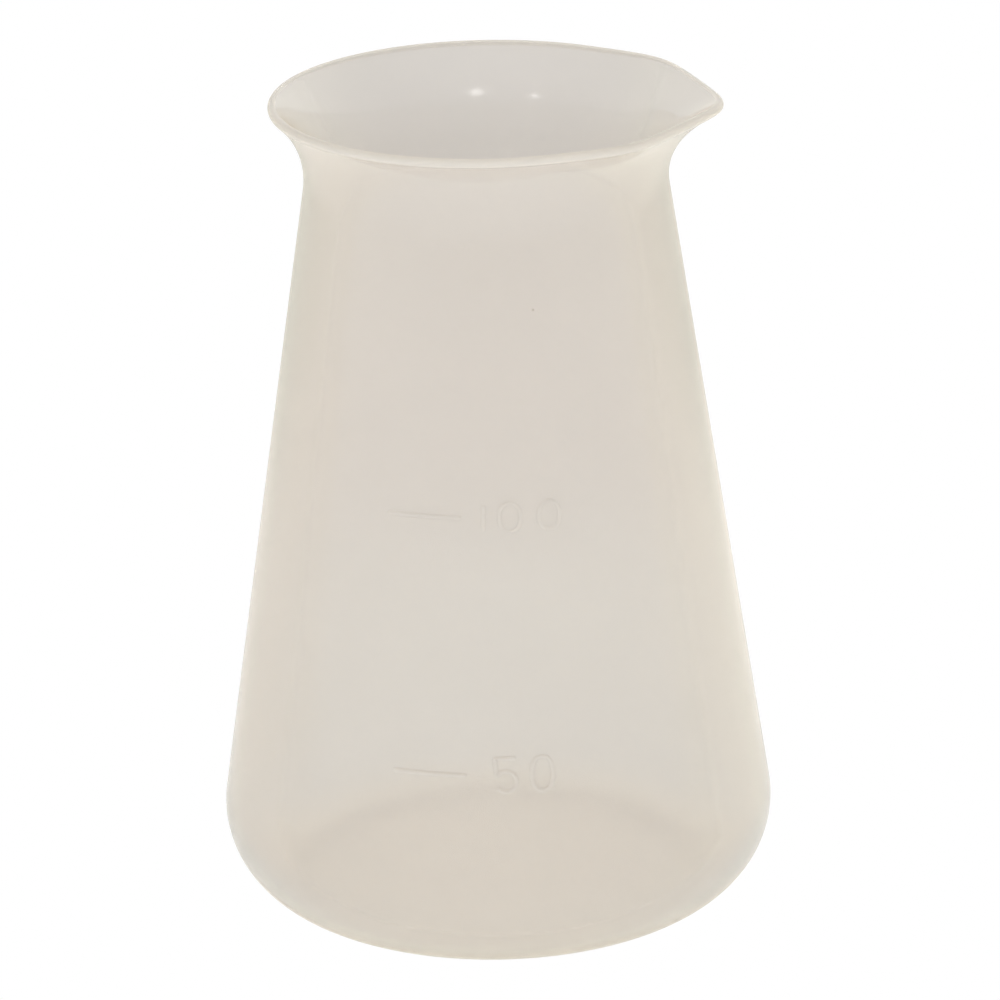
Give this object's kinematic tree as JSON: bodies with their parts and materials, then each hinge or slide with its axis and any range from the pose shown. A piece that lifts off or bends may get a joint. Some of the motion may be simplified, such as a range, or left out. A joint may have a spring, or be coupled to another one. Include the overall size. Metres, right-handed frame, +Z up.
{
  "type": "conical graduated beaker",
  "caption": "Tapered free-standing beaker in translucent natural plastic, with a flared lip, a pouring spout, a rounded heel and raised volume graduations.",
  "frame": {"origin": "centre of the foot, on the surface that the beaker stands on", "axes": "+Z up along the beaker's axis; the graduations face -Y; the pouring spout points 7 degrees from +X towards -Y"},
  "size_m": [0.0586, 0.0586, 0.0872],
  "materials": {
    "natural_polypropylene": "satin, milky and translucent"
  },
  "bodies": {
    "root": {"base": "natural_polypropylene", "conical_wall": "natural_polypropylene", "flared_rim": "natural_polypropylene", "pouring_spout": "natural_polypropylene", "graduation_line_50": "natural_polypropylene", "graduation_line_100": "natural_polypropylene", "numeral_50": "natural_polypropylene", "numeral_100": "natural_polypropylene"}
  },
  "joints": []
}
